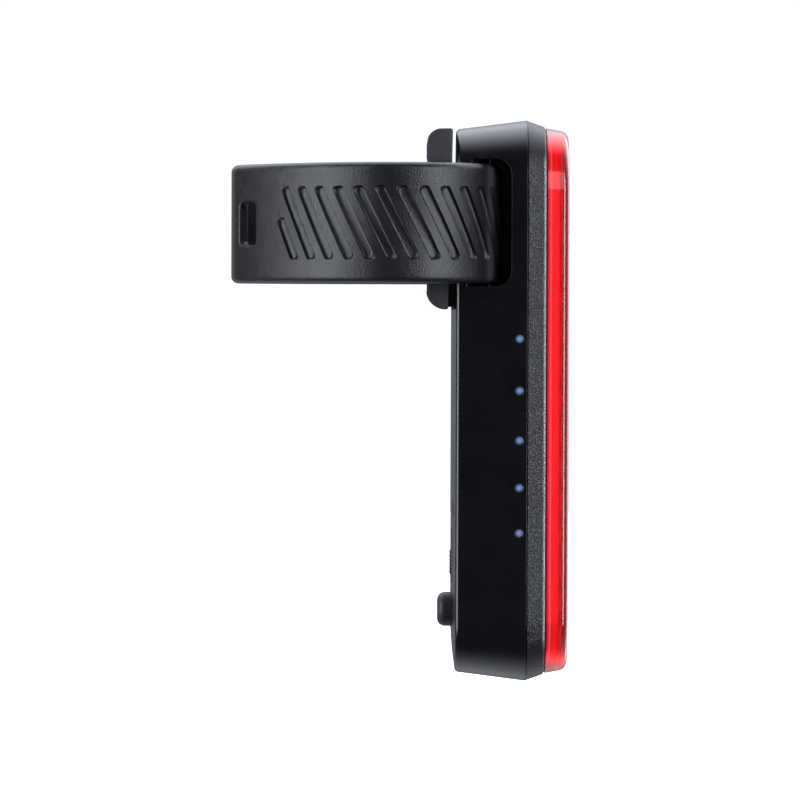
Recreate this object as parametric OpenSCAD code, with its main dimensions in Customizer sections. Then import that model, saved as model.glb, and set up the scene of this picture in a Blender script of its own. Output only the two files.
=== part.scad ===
// Bike rear light with a silicone seatpost strap.
// Millimetres. The origin is the seatpost axis at the strap's mid height.
// X points from the post to the red lens, Y to the far side, Z up.

/* [Case] */
// Height of the case at its parting line
body_height = 84; // [81:0.5:90]
// Width of the case at its parting line
body_width = 21; // [20.5:0.25:23]
// Depth from the edge of the back face to the parting line
case_depth = 10.55; // [10.5:0.05:11.5]
// How far each side draws in from the parting line to the back
case_draft = 1.35; // [0.8:0.05:1.5]
// Wall thickness of the case
case_wall = 1.4; // [1.2:0.05:1.5]
// Height of the crown on the back face
back_crown = 0.65; // [0.4:0.05:0.8]
// Radius of the edge round the back face
back_edge_radius = 0.7; // [0.4:0.05:0.9]
// Distance from the post axis to the edge of the back face
back_distance = 15.85; // [15.6:0.05:16.2]
// Distance from the strap's mid height up to the top of the case
strap_rise = 15.6; // [15.2:0.05:17]

/* [Front] */
// Depth of the front frame
bezel_depth = 2.8; // [2.8:0.1:3.6]
// How far the frame draws in to its front
bezel_draft = 1; // [0.6:0.1:1.2]
// Radius of the frame's front edge
bezel_edge_radius = 0.4; // [0.2:0.1:0.6]
// Thickness of the seal under the lens
lens_seal = 0.2; // [0.15:0.05:0.4]
// Depth of the lens
lens_depth = 3.25; // [2.9:0.05:3.8]
// How far the lens draws in to its front
lens_draft = 0.6; // [0.3:0.1:0.8]
// Wall thickness of the lens
lens_wall = 1; // [0.8:0.1:1.2]
// Radius of the lens's front edge
lens_edge_radius = 1.3; // [0.8:0.1:1.3]

/* [Strap] */
// Height of the strap band
band_height = 17.85; // [14:0.05:18.6]
// Thickness of the strap band
band_thickness = 1.6; // [1.3:0.1:1.8]
// Outside radius of the band where it turns into the case
loop_radius = 15.75; // [15.4:0.05:16]
// Distance from the post axis to the centre of that turn
loop_centre = 7.3; // [7.1:0.05:7.5]
// Outside radius of the flatter near side
side_radius = 27; // [24:1:32]
// Outside radius at the far left end of the loop
apex_radius = 6; // [5:0.25:7]
// Distance from the post axis to the far left end
apex_distance = 17.95; // [17:0.05:19]
// Slope of the straight tail in degrees
tail_slope = 5; // [4:0.5:6]
// Distance from the parting line back to the tip of the tail
tail_short = 0.9; // [0.5:0.1:1.6]
// Length of each slot along the band
slot_length = 3.8; // [3.7:0.1:4.2]
// Height of each slot
slot_height = 6.3; // [5.6:0.1:8]
// Spacing of the slots along the band
slot_pitch = 15.85; // [15.7:0.05:16]
// Number of slots
slot_count = 4; // [3:1:4]
// Number of grip grooves
groove_count = 12; // [6:1:12]
// Spacing of the grip grooves along the band
groove_pitch = 3.3; // [3:0.1:3.5]
// Width of a grip groove
groove_width = 1.15; // [0.8:0.05:1.3]
// Depth of a grip groove
groove_depth = 0.5; // [0.3:0.05:0.6]
// Height of a grip groove
groove_height = 10.6; // [7:0.2:11]
// Lean of the grip grooves in degrees
groove_lean = 27; // [15:1:30]
// Radius of the pin that holds the strap
pin_radius = 1; // [0.8:0.05:1.1]

/* [Pad] */
// Radius of the saddle that takes the post
saddle_radius = 13.6; // [13.2:0.1:14]
// Width of the pad
pad_width = 15.6; // [13:0.2:17]
// Height of the pad's top above the strap's mid height
pad_top = 14.15; // [12:0.05:15]
// Depth of the pad's bottom below the strap's mid height
pad_bottom = 12.75; // [11.9:0.05:12.8]
// Nearest point of the pad to the post axis
pad_front = 11.45; // [11.2:0.05:12]

/* [Controls] */
// Radius of the mode button
button_radius = 2.5; // [2.2:0.1:2.9]
// How far the button stands out of the back face
button_height = 1.95; // [1.6:0.05:2.6]
// Press travel of the button
button_travel = 0.6; // [0.3:0.1:0.8]
// Height of the button's centre above the middle of the lower round end
button_rise = 0.25; // [0:0.05:0.5]
// Radius of a charge dot
dot_radius = 0.65; // [0.4:0.05:0.7]
// Distance from the middle of the lower round end up to the lowest dot
dot_rise = 12.1; // [11:0.05:12.2]
// Gap between the lowest two dots
dot_gap = 6.7; // [6.5:0.05:7.2]
// Ratio of each gap to the one below it
dot_gap_ratio = 1.047; // [1:0.001:1.06]
// Width of the charging port cover
cover_width = 11; // [10.4:0.2:12]
// Height of the charging port cover
cover_height = 7.4; // [7.1:0.1:7.6]

/* [Inside] */
// Thickness of the long board
led_board_thickness = 1; // [0.8:0.1:1.2]
// Number of red light chips
led_count = 13; // [7:1:14]
// Distance of the first and last light chips inside the middles of the round ends
led_inset = 1.35; // [1:0.05:3]
// Thickness of the battery
battery_thickness = 7; // [5:0.25:7.2]
// Width of the battery
battery_width = 14.4; // [10:0.2:14.8]
// Thickness of the small board
control_board_thickness = 1; // [0.8:0.1:1.2]

/* [Clearances] */
// Running gap on a pin
pin_gap = 0.05; // [0.03:0.01:0.1]
// Gap round a moving soft piece
soft_gap = 0.3; // [0.2:0.05:0.4]
// Gap between fixed pieces
fixed_gap = 0.1; // [0.05:0.05:0.15]
// Gap between the battery and the screw posts below it
battery_gap = 0.8; // [0.5:0.1:1.2]

/* [Hidden] */
$fn = 96;
part_x = back_distance + case_depth;
bezel_x = part_x + bezel_depth;
lens_x = bezel_x + lens_seal;
case_r = body_width / 2;
back_r = case_r - case_draft;
bezel_r = case_r - bezel_draft;
lens_r = bezel_r - 0.15;
lens_front_r = lens_r - lens_draft;
half_run = body_height / 2 - case_r;
body_drop = body_height / 2 - strap_rise;
top_z = half_run - body_drop;
low_z = -half_run - body_drop;
crown_x = back_distance - back_crown;
inner_x = back_distance + case_wall + 0.1;
opening_r = bezel_r - 1.1;
board_x = part_x + 0.3;
board_front = board_x + led_board_thickness;
board_r = opening_r - 0.4;
ledge_x = board_front + 0.05;
flange_x = ledge_x + 0.8;
seat_x = lens_x + 0.05;

// Loop centres from the turn into the case round to the tail
turn_angle = 160;
line_angle = 134;
far_angle = 60;
band_mid = band_thickness / 2;
side_centre = [loop_centre, 0] - (side_radius - loop_radius) * facing(turn_angle);
line_start = side_centre + side_radius * facing(line_angle);
line_run = (line_start.x + apex_distance - apex_radius * (1 - sin(line_angle))) / -cos(line_angle);
line_end = line_start + line_run * along(line_angle);
apex_centre = line_end - apex_radius * facing(line_angle);
tail_tip = part_x - tail_short;
tail_y = case_r + soft_gap + band_thickness / cos(tail_slope);
far_rise = tail_y + tan(tail_slope) * (tail_tip - apex_centre.x + apex_radius * sin(far_angle));
far_share = cos(tail_slope) - cos(far_angle) + tan(tail_slope) * (sin(far_angle) + sin(tail_slope));
far_radius = (far_rise - apex_centre.y - apex_radius * cos(far_angle)) / far_share;
far_centre = apex_centre - (far_radius - apex_radius) * facing(far_angle);
tail_start = far_centre + (far_radius - band_mid) * facing(-tail_slope);
tail_reach = (tail_tip - tail_start.x) / cos(tail_slope);
tip_round = 4;
far_arc = (far_radius - band_mid) * (far_angle + tail_slope) * PI / 180;
apex_arc = (apex_radius - band_mid) * (line_angle - far_angle) * PI / 180;
eye_r = pin_radius + 1.25;
pin_x = loop_centre + loop_radius - eye_r;

// Hook and slots
hook_x = back_distance + 2.6;
hook_length = 1.2;
hook_lip = 0.8;
lip_y = far_centre.y + far_radius / cos(tail_slope) - tan(tail_slope) * (hook_x - far_centre.x) + 0.35;
hook_s = (hook_x - 0.25 + slot_length / 2 - tail_start.x) / cos(tail_slope);

// Strap pocket
pocket_top = band_height / 2 + 0.65;
pocket_low = band_height / 2 + 0.35;
pocket_x = loop_centre + loop_radius + 0.95;
pocket_round = 2.4;
root_round = 1.3;
pin_sink = 0.9;
pocket_far = eye_r + 0.6;
block_x = pocket_x + 1.1;

// Pad
pad_back_top = back_distance - 0.5;
pad_back_low = back_distance - 1.1;
neck_top = 8.4;
neck_low = pad_bottom - 0.4;
stud_z = 5;

// Back of the case
screw_z_top = pocket_top / 2;
screw_y_top = pocket_far + 2.55;
screw_z_low = low_z - 6.5;
screw_z_mid = low_z + dot_rise + dot_gap / 2;
screw_y = 5.9;
screw_boss_r = 1.7;
screw_hole_r = 1.5;
screw_head_x = back_distance + 0.3;
button_z = low_z + button_rise;
usb_z = low_z + 8.1;
hinge_z = usb_z + 4.1;
cover_x = back_distance + 0.45;
board_back = back_distance + 7.75;
board_face = board_back + control_board_thickness;
board_top = screw_z_mid - 1.8;
post_z_top = board_top - 2;
post_z_low = low_z - 3;
board_low = screw_z_low + screw_boss_r + 0.3;
post_y = 5.4;
shell_x = cover_x + 0.3;
battery_x = inner_x + 0.45;
battery_top = -(pocket_low + 1.1) - 2;
battery_low = screw_z_mid + screw_boss_r + battery_gap;
battery_height = battery_top - battery_low;
chips_z = screw_z_mid + 7;
led_pitch = 2 * (half_run - led_inset) / (led_count - 1);
stem_x = board_back - 4.5;

function facing(turn) = [-sin(turn), cos(turn)];
function along(turn) = [cos(turn), sin(turn)];
function sum_gaps(count) = count <= 0 ? 0 : sum_gaps(count - 1) + pow(dot_gap_ratio, count - 1);
function dot_z(index) = low_z + dot_rise + dot_gap * sum_gaps(index);
function pad_back(height) =
  pad_back_low + (pad_back_top - pad_back_low) * (height + pad_bottom) / (pad_top + pad_bottom);
function side_r(depth) = back_r + case_draft * (depth - back_distance) / case_depth;

// Place along the middle of the band, counted from the start of the tail towards the apex
function band_turn(place) = place <= 0 ? -tail_slope
  : place <= far_arc ? -tail_slope + place / (far_radius - band_mid) * 180 / PI
  : place <= far_arc + apex_arc ? far_angle + (place - far_arc) / (apex_radius - band_mid) * 180 / PI
  : line_angle;
function band_point(place) = place <= 0 ? tail_start + place * along(180 - tail_slope)
  : place <= far_arc ? far_centre + (far_radius - band_mid) * facing(band_turn(place))
  : place <= far_arc + apex_arc ? apex_centre + (apex_radius - band_mid) * facing(band_turn(place))
  : line_end - band_mid * facing(line_angle) - (place - far_arc - apex_arc) * along(line_angle);

// Solid of a half outline swept round a long rounded plate; outline x is the reach, outline y is X
module round_plate(run = half_run) {
  translate([0, 0, -body_drop]) {
    rotate([180, 0, 90]) linear_extrude(height = 2 * run, center = true) {
      children();
      mirror([1, 0]) children();
    }
    translate([0, 0, run]) rotate([0, 90, 0]) rotate([0, 0, 90]) rotate_extrude(angle = 180)
      children();
    translate([0, 0, -run]) rotate([0, 90, 0]) rotate([0, 0, -90]) rotate_extrude(angle = 180)
      children();
  }
}

// Plate of one reach between two depths
module plate(reach, from, to) {
  round_plate() translate([0, from]) square([reach, to - from]);
}

// Ring of one width between two depths
module ring(outer, inner, from, to) {
  round_plate() translate([inner, from]) square([outer - inner, to - from]);
}

module rounded_square(width, height, radius) {
  square([width - 2 * radius, height], center = true);
  square([width, height - 2 * radius], center = true);
  for (x = [-1, 1], y = [-1, 1])
    translate([x * (width / 2 - radius), y * (height / 2 - radius)]) circle(radius);
}

// Rounded block seen along X, from one depth to another
module block_x_way(width, height, radius, from, to) {
  translate([from, 0, 0]) rotate([90, 0, 90]) linear_extrude(height = to - from)
    rounded_square(width, height, radius);
}

// Cylinder along X
module rod_x(radius, from, to) {
  translate([from, 0, 0]) rotate([0, 90, 0]) cylinder(r = radius, h = to - from);
}

module box(from, to) {
  translate(from) cube(to - from);
}

module case_outline() {
  lean = [case_draft, case_depth] / norm([case_draft, case_depth]);
  edge = [back_r - back_edge_radius * (1 - lean.x) / lean.y, back_distance + back_edge_radius];
  crown_r = (edge.x * edge.x + back_crown * back_crown) / (2 * back_crown);
  polygon([[0, back_distance], [edge.x, back_distance],
    [edge.x + back_edge_radius * lean.y, edge.y - back_edge_radius * lean.x], [case_r, part_x], [0, part_x]]);
  intersection() {
    translate(edge) circle(back_edge_radius);
    translate([edge.x - 0.01, back_distance]) square([back_edge_radius + 1, back_edge_radius + 0.01]);
  }
  intersection() {
    translate([0, crown_x]) square([edge.x, back_crown]);
    translate([0, crown_x + crown_r]) circle(crown_r, $fn = 200);
  }
}

module case_body() {
  difference() {
    round_plate() case_outline();
    box([crown_x - 1, -case_r, -neck_low], [back_distance, case_r, top_z + case_r]);
  }
}

// Screw places on the back, as [Y, Z]
function screw_places() =
  [[screw_y_top, screw_z_top], [0, screw_z_low], [-screw_y, screw_z_mid], [screw_y, screw_z_mid]];
function post_places() =
  [[-post_y, post_z_top], [post_y, post_z_top], [-post_y, post_z_low], [post_y, post_z_low]];

module strap_pocket() {
  difference() {
    translate([0, pocket_far, 0]) rotate([90, 0, 0]) linear_extrude(height = pocket_far + case_r + 2)
      translate([pocket_x - 15, (pocket_top - pocket_low) / 2])
        rounded_square(30, pocket_top + pocket_low, pocket_round);
    difference() {
      translate([loop_centre, 0, -20]) cylinder(r = loop_radius - band_thickness - 0.4, h = 40);
      translate([pin_x, 0, -20]) cylinder(r = eye_r + 0.45, h = 40);
    }
  }
}

module rear_case() {
  color([0.05, 0.05, 0.06]) difference() {
    union() {
      difference() {
        case_body();
        round_plate() polygon([[0, inner_x], [side_r(inner_x) - case_wall, inner_x],
          [case_r - case_wall, part_x], [0, part_x]]);
      }
      intersection() {
        round_plate() polygon([[0, back_distance + 0.2],
          [side_r(back_distance + 0.2) - 0.3, back_distance + 0.2], [case_r - 0.3, part_x], [0, part_x]]);
        box([back_distance, -case_r, -pocket_low - 1.1], [block_x, case_r, pocket_top + 1.2]);
      }
      for (place = screw_places()) translate([0, place.x, place.y])
        rod_x(screw_boss_r, back_distance + 0.9, board_x);
      for (place = post_places()) translate([0, place.x, place.y])
        rod_x(1.2, back_distance + 0.9, board_back);
      translate([0, 6, 0]) rotate([90, 0, 0]) linear_extrude(height = 12)
        polygon([[pad_back(-neck_low), -neck_low], [back_distance + 0.4, -neck_low],
          [back_distance + 0.4, neck_top], [pad_back(neck_top), neck_top]]);
      box([hook_x, case_r - 2.6, -2.6], [hook_x + hook_length, lip_y + 0.75, 2.6]);
      box([hook_x, lip_y, -2.6], [hook_x + hook_length + hook_lip, lip_y + 0.75, 2.6]);
    }
    strap_pocket();
    translate([pin_x, 0, -pocket_low - 2]) cylinder(r = pin_radius + 0.02, h = pocket_low + pocket_top + 3);
    for (place = screw_places()) translate([0, place.x, place.y]) {
      rod_x(0.95, crown_x - 1, part_x + 2);
      rod_x(screw_hole_r, crown_x - 1, back_distance + 1.2);
    }
    for (place = post_places()) translate([0, place.x, place.y])
      rod_x(0.55, board_back - 3.5, board_back + 1);
    for (z = [-stud_z, stud_z]) translate([0, 0, z])
      rod_x(1.6, pad_back_low - 1, back_distance + 1.4);
    translate([0, 0, button_z]) rod_x(button_radius + soft_gap, crown_x - 1, inner_x + 1);
    translate([0, 0, usb_z]) block_x_way(9.4, 3.7, 1.8, crown_x - 1, inner_x + 1);
    translate([0, 0, hinge_z - cover_height / 2])
      block_x_way(cover_width + 2 * soft_gap, cover_height + 2 * soft_gap, 1.2, crown_x - 1, cover_x);
    box([crown_x - 1, -2.6, hinge_z - 1], [cover_x, 2.6, hinge_z + 1.7]);
    translate([0, 0, hinge_z + 0.9]) rod_x(0.75, crown_x - 1, inner_x + 1);
    for (index = [0:4]) translate([part_x - 1.15, -case_r + 3, dot_z(index)]) rotate([90, 0, 0])
      cylinder(r = dot_radius, h = 5);
  }
}

module front_bezel() {
  lean = [bezel_draft, bezel_depth] / norm([bezel_draft, bezel_depth]);
  edge = [bezel_r - bezel_edge_radius * (1 - lean.x) / lean.y, bezel_x - bezel_edge_radius];
  color([0.2, 0.2, 0.22]) difference() {
    union() {
      round_plate() {
        polygon([[opening_r, part_x], [case_r, part_x],
          [edge.x + bezel_edge_radius * lean.y, edge.y + bezel_edge_radius * lean.x],
          [edge.x, bezel_x], [opening_r, bezel_x]]);
        intersection() {
          translate(edge) circle(bezel_edge_radius);
          translate([edge.x - 0.01, edge.y - 0.01]) square([1, bezel_edge_radius + 0.01]);
        }
      }
      ring(opening_r + 0.01, opening_r - 0.95, ledge_x, flange_x - 0.05);
      ring(side_r(part_x - 0.5) - case_wall - fixed_gap, opening_r + 0.02, part_x - 0.5, part_x + 0.01);
    }
    ring(case_r - 0.5, case_r - 1.05, part_x - 0.1, part_x + 0.5);
  }
}

module case_gasket() {
  color([0.12, 0.12, 0.12]) ring(case_r - 0.52, case_r - 1.03, part_x, part_x + 0.48);
}

module lens_gasket() {
  color([0.25, 0.02, 0.03]) ring(lens_r - 0.15, opening_r + 0.05, bezel_x, lens_x);
}

module lens_outline(inset) {
  lean = [lens_draft, lens_depth] / norm([lens_draft, lens_depth]);
  round = lens_edge_radius - inset * 0.5;
  front = lens_x + lens_depth - inset;
  base_r = lens_r - inset;
  top_r = lens_front_r - inset;
  edge = [top_r - round * (1 - lean.x) / lean.y, front - round];
  side = edge + round * [lean.y - 0.15 * lean.x, lean.x + 0.15 * lean.y];
  low = atan2(lean.x, lean.y) + 5;
  polygon([[0, lens_x], [base_r, lens_x], side, [edge.x + 0.15 * round, front], [0, front]]);
  translate(edge) intersection() {
    circle(round);
    polygon([[0, 0], 3 * round * [cos(low), sin(low)], [3 * round, 3 * round], 3 * round * [cos(85), sin(85)]]);
  }
}

module red_lens() {
  color([0.8, 0.05, 0.07]) difference() {
    round_plate() lens_outline(0);
    round_plate() lens_outline(lens_wall);
  }
}

module light_guide() {
  reach = lens_r - lens_wall - 0.7;
  color([1, 0.08, 0.08]) round_plate()
    polygon([[0, seat_x], [reach, seat_x], [reach - 0.4, lens_x + lens_depth - lens_wall - 0.3],
      [0, lens_x + lens_depth - lens_wall - 0.3]]);
}

module reflector_tray() {
  color([0.93, 0.93, 0.92]) difference() {
    union() {
      plate(opening_r - 1.15, ledge_x, bezel_x - 0.05);
      plate(opening_r - 0.35, flange_x, flange_x + 0.55);
    }
    translate([0, 0, -body_drop])
      block_x_way(5, led_count * led_pitch + 2, 2.4, ledge_x - 1, bezel_x + 1);
    for (place = screw_places()) translate([0, place.x, place.y])
      rod_x(0.82, ledge_x - 1, bezel_x - 0.4);
  }
}

module led_board() {
  color([0.1, 0.35, 0.2]) difference() {
    plate(board_r, board_x, board_front);
    for (place = screw_places()) translate([0, place.x, place.y])
      rod_x(0.95, board_x - 1, board_front + 1);
  }
}

module red_leds() {
  color([1, 0.85, 0.4]) for (index = [0:led_count - 1])
    translate([0, 0, -body_drop + (index - (led_count - 1) / 2) * led_pitch])
      box([board_front, -1.4, -1.75], [board_front + 0.7, 1.4, 1.75]);
}

module indicator_leds() {
  color([0.7, 0.8, 1]) for (index = [0:4]) translate([0, 0, dot_z(index)])
    box([board_x - 1, -board_r + 0.15, -0.8], [board_x, -board_r + 1.2, 0.8]);
}

module indicator_pipes() {
  color([0.5, 0.62, 0.9]) intersection() {
    round_plate() polygon([[0, back_distance + 2], [side_r(back_distance + 2), back_distance + 2],
      [case_r, part_x], [0, part_x]]);
    for (index = [0:4]) translate([part_x - 1.15, -board_r - 0.1, dot_z(index)]) rotate([90, 0, 0])
      cylinder(r = dot_radius, h = 5);
  }
}

module driver_chip() {
  color([0.1, 0.1, 0.11]) box([board_x - 0.9, -2, chips_z + 2], [board_x, 2, chips_z + 6]);
}

module power_inductor() {
  color([0.25, 0.24, 0.23]) box([board_x - 1.6, 2.8, chips_z + 9], [board_x, 6.6, chips_z + 12.8]);
}

module chip_capacitors() {
  color([0.7, 0.6, 0.45]) for (step = [0:5])
    translate([0, 0, chips_z + step * 2.4]) box([board_x - 0.8, -5.4, 0], [board_x, -3.8, 0.8]);
}

module control_board() {
  color([0.1, 0.35, 0.2]) difference() {
    intersection() {
      plate(side_r(board_back) - case_wall - 0.5, board_back, board_face);
      box([board_back - 1, -7.2, board_low], [board_face + 1, 7.2, board_top]);
    }
    for (place = post_places()) translate([0, place.x, place.y])
      rod_x(0.75, board_back - 1, board_face + 1);
  }
}

module board_link() {
  color([0.12, 0.12, 0.12]) box([board_face, -3.6, low_z - 1.4], [board_x, 3.6, low_z + 0.6]);
}

module board_screws() {
  color([0.6, 0.6, 0.62]) for (place = post_places()) translate([0, place.x, place.y]) difference() {
    union() {
      rod_x(0.5, board_back - 3, board_face + 0.3);
      rod_x(1.1, board_face, board_face + 0.7);
    }
    translate([board_face + 0.5, 0, 0]) cube([1, 0.3, 1.6], center = true);
  }
}

module case_screws() {
  color([0.6, 0.6, 0.62]) for (place = screw_places()) translate([0, place.x, place.y]) difference() {
    union() {
      rod_x(0.8, back_distance + 1.2, bezel_x - 0.5);
      rod_x(screw_hole_r - fixed_gap, screw_head_x, back_distance + 1.2);
    }
    for (turn = [0, 90]) rotate([turn, 0, 0]) translate([screw_head_x, 0, 0])
      cube([1, 0.35, 1.7], center = true);
  }
}

// Rubber plugs flush with the back over the screws that the pad leaves open
module screw_plugs() {
  open_screws = [for (place = screw_places()) if (place.y < 0) place];
  color([0.1, 0.1, 0.105]) intersection() {
    round_plate() case_outline();
    for (place = open_screws) translate([0, place.x, place.y])
      rod_x(screw_hole_r - fixed_gap / 2, crown_x - 1, screw_head_x - fixed_gap / 2);
  }
}

module usb_shell() {
  color([0.75, 0.75, 0.77]) translate([0, 0, usb_z]) difference() {
    block_x_way(8.94, 3.2, 1.55, shell_x, board_back);
    block_x_way(8.3, 2.56, 1.25, shell_x - 1, board_back - 1);
  }
}

module usb_tongue() {
  color([0.1, 0.1, 0.1]) translate([0, 0, usb_z])
    box([shell_x + 1.6, -3.3, -0.35], [board_back - 1, 3.3, 0.35]);
}

module switch_body() {
  color([0.15, 0.15, 0.16]) difference() {
    box([board_back - 2.5, -2.25, button_z - 2.25], [board_back, 2.25, button_z + 2.25]);
    translate([0, 0, button_z]) rod_x(0.9 + pin_gap, board_back - 3, board_back - 0.6);
  }
}

module switch_stem() {
  color([0.85, 0.82, 0.75]) translate([0, 0, button_z])
    rod_x(0.9, stem_x, board_back - 0.65 - button_travel);
}

module button_plunger() {
  color([0.3, 0.3, 0.32]) translate([0, 0, button_z]) rod_x(1.2, crown_x + 0.2, stem_x);
}

module mode_button() {
  round = 0.9;
  tip = crown_x - button_height;
  color([0.1, 0.1, 0.105]) translate([0, 0, button_z]) difference() {
    union() {
      rotate([0, 90, 0]) rotate_extrude() {
        translate([0, tip + round]) square([button_radius, inner_x + 0.7 - tip - round]);
        translate([0, tip]) square([button_radius - round, round]);
        intersection() {
          translate([button_radius - round, tip + round]) circle(round);
          translate([button_radius - round, tip]) square([round, round]);
        }
      }
      rod_x(button_radius + 0.75, inner_x + 0.68, inner_x + 1.3);
    }
    rod_x(1.2, crown_x + 0.2, inner_x + 3);
  }
}

module button_seal() {
  color([0.09, 0.09, 0.09]) translate([0, 0, button_z]) difference() {
    rod_x(button_radius + 1.4, inner_x, inner_x + 0.6);
    rod_x(button_radius + soft_gap, inner_x - 1, inner_x + 1);
  }
}

module port_cover() {
  color([0.1, 0.1, 0.105]) {
    intersection() {
      round_plate() case_outline();
      translate([0, 0, hinge_z - cover_height / 2])
        block_x_way(cover_width, cover_height, 1, crown_x - 1, cover_x - 0.05);
      box([crown_x - 1, -20, hinge_z - cover_height], [cover_x + 1, 20, hinge_z]);
    }
    translate([0, 0, usb_z]) block_x_way(7.7, 1.9, 0.9, cover_x - 0.06, shell_x + 0.7);
    for (step = [0:5]) translate([crown_x + 0.06, -3, hinge_z - cover_height + 1 + step * 0.6])
      rotate([-90, 0, 0]) cylinder(r = 0.2, h = 6);
  }
}

module cover_root() {
  color([0.1, 0.1, 0.105]) {
    intersection() {
      round_plate() case_outline();
      box([crown_x - 1, -2.3, hinge_z + 0.02], [cover_x - 0.05, 2.3, hinge_z + 1.6]);
    }
    translate([0, 0, hinge_z + 0.9]) {
      rod_x(0.65, cover_x - 0.1, inner_x + 0.3);
      rod_x(1.0, inner_x + 0.02, inner_x + 0.5);
    }
  }
}

module battery_cell() {
  color([0.55, 0.57, 0.6]) translate([0, 0, battery_top - battery_height / 2])
    block_x_way(battery_width, battery_height, 0.8, battery_x, battery_x + battery_thickness);
}

module battery_foam() {
  color([0.9, 0.9, 0.85])
    box([inner_x + 0.05, -4, battery_low + 3], [battery_x, 4, battery_top - 3]);
}

module battery_leads() {
  color([0.7, 0.1, 0.1]) for (y = [-0.8, 0.8])
    translate([board_back - 1.4, y, board_top - 0.2])
      cylinder(r = 0.45, h = battery_low - board_top + 0.2);
}

module battery_plug() {
  color([0.93, 0.91, 0.85])
    box([board_back - 2.7, -2.1, board_top - 2.9], [board_back, 2.1, board_top - 0.2]);
}

module saddle_pad() {
  color([0.14, 0.14, 0.145]) {
    difference() {
      intersection() {
        translate([0, pad_width / 2, 0]) rotate([90, 0, 0]) linear_extrude(height = pad_width) pad_side();
        box([pad_front, -pad_width / 2, -pad_bottom], [back_distance, pad_width / 2, pad_top]);
      }
      translate([0, 0, -30]) cylinder(r = saddle_radius, h = 60);
    }
    for (z = [-stud_z, stud_z]) translate([0, 0, z]) rod_x(1.55, pad_back_low - 0.2, back_distance + 1.3);
  }
}

// Side outline of the pad, rounded where it meets the post
module pad_side() {
  top_round = 2.2;
  low_round = 3;
  difference() {
    polygon([[pad_front, -pad_bottom], [pad_back_low, -pad_bottom], [pad_back_top, pad_top],
      [pad_front, pad_top]]);
    difference() {
      translate([pad_front - 1, pad_top - top_round]) square([top_round + 1, top_round + 1]);
      translate([pad_front + top_round, pad_top - top_round]) circle(top_round);
    }
    difference() {
      translate([pad_front - 1, -pad_bottom - 1]) square([low_round + 1, low_round + 1]);
      translate([pad_front + low_round, -pad_bottom + low_round]) circle(low_round);
    }
  }
}

// One edge of the band at an inset, through a list of [centre, radius, facing] stops
function band_edge(inset, stops, backward) =
  let (last = len(stops) - 1)
  [for (index = [0:last]) let (stop = stops[backward ? last - index : index])
    stop[0] + (stop[1] - inset) * facing(stop[2])];
function arc_stops(centre, radius, from, to, count) =
  [for (step = [0:count]) [centre, radius, from + (to - from) * step / count]];
function near_stops() = concat(arc_stops(apex_centre, apex_radius, 90, line_angle, 14),
  arc_stops(side_centre, side_radius, line_angle, turn_angle, 14),
  arc_stops([loop_centre, 0], loop_radius, turn_angle + 2, 264, 51));
function far_stops() = concat([[far_centre + tail_reach * along(-tail_slope), far_radius, -tail_slope]],
  arc_stops(far_centre, far_radius, -tail_slope, far_angle, 32),
  arc_stops(apex_centre, apex_radius, far_angle + 3, 90, 9));

module slot_cutter(index) {
  place = -hook_s + index * slot_pitch;
  translate([band_point(place).x, band_point(place).y, 0]) rotate([0, 0, band_turn(place)]) rotate([90, 0, 0])
    linear_extrude(height = 6, center = true) rounded_square(slot_length, slot_height, 0.7);
}

module grip_groove(index, cut = 0) {
  turn = 179 + (index - 5) * groove_pitch / loop_radius * 180 / PI;
  near = turn >= turn_angle;
  past = (turn_angle - turn) * loop_radius / side_radius;
  centre = near ? [loop_centre, 0] : side_centre;
  radius = near ? loop_radius : side_radius;
  look = near ? turn : turn_angle - past;
  spot = centre + (radius + groove_width / 2 - groove_depth) * facing(look);
  reach = (groove_height - groove_width) / cos(groove_lean);
  translate([spot.x, spot.y, 0]) rotate([0, 0, look]) rotate([0, groove_lean, 0])
    translate([0, 0, -reach / 2]) {
      cylinder(r = groove_width / 2, h = reach - cut);
      for (height = [0, reach - cut]) translate([0, 0, height]) sphere(groove_width / 2);
    }
}

// Waste outside the round corners of the band's root
module root_corners() {
  root_x = loop_centre + loop_radius;
  translate([0, eye_r, 0]) rotate([90, 0, 0]) linear_extrude(height = eye_r + loop_radius) difference() {
    translate([root_x - root_round, -band_height]) square([root_round + 1, 2 * band_height]);
    translate([root_x - band_height, 0]) rounded_square(2 * band_height, band_height, root_round);
  }
}

module strap_band() {
  color([0.16, 0.16, 0.165]) difference() {
    translate([0, 0, -band_height / 2]) linear_extrude(height = band_height) {
      polygon([for (edge = [0, band_thickness]) each band_edge(edge, near_stops(), edge > 0)]);
      translate([pin_x, 0]) circle(eye_r);
    }
    translate([pin_x, 0, -20]) cylinder(r = pin_radius + pin_gap, h = 40);
    root_corners();
    for (index = [0:groove_count - 1]) grip_groove(index);
    grip_groove(-1, groove_height * 0.42);
    slot_cutter(slot_count - 1);
  }
}

// Waste outside the round corners of the tail's tip
module tip_corners() {
  translate([tail_start.x, tail_start.y, 0]) rotate([0, 0, -tail_slope]) rotate([90, 0, 0])
    linear_extrude(height = 3 * band_thickness, center = true) difference() {
      translate([tail_reach - tip_round, -band_height]) square([tip_round + 1, 2 * band_height]);
      translate([tail_reach - band_height, 0]) rounded_square(2 * band_height, band_height, tip_round);
    }
}

module strap_tail() {
  color([0.16, 0.16, 0.165]) difference() {
    translate([0, 0, -band_height / 2]) linear_extrude(height = band_height)
      polygon([for (edge = [0, band_thickness]) each band_edge(edge, far_stops(), edge > 0)]);
    tip_corners();
    for (index = [0:slot_count - 2]) slot_cutter(index);
  }
}

module strap_pin() {
  color([0.7, 0.7, 0.72]) translate([pin_x, 0, -pocket_low - pin_sink])
    cylinder(r = pin_radius, h = pocket_low + pocket_top + 2 * pin_sink);
}

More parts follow.
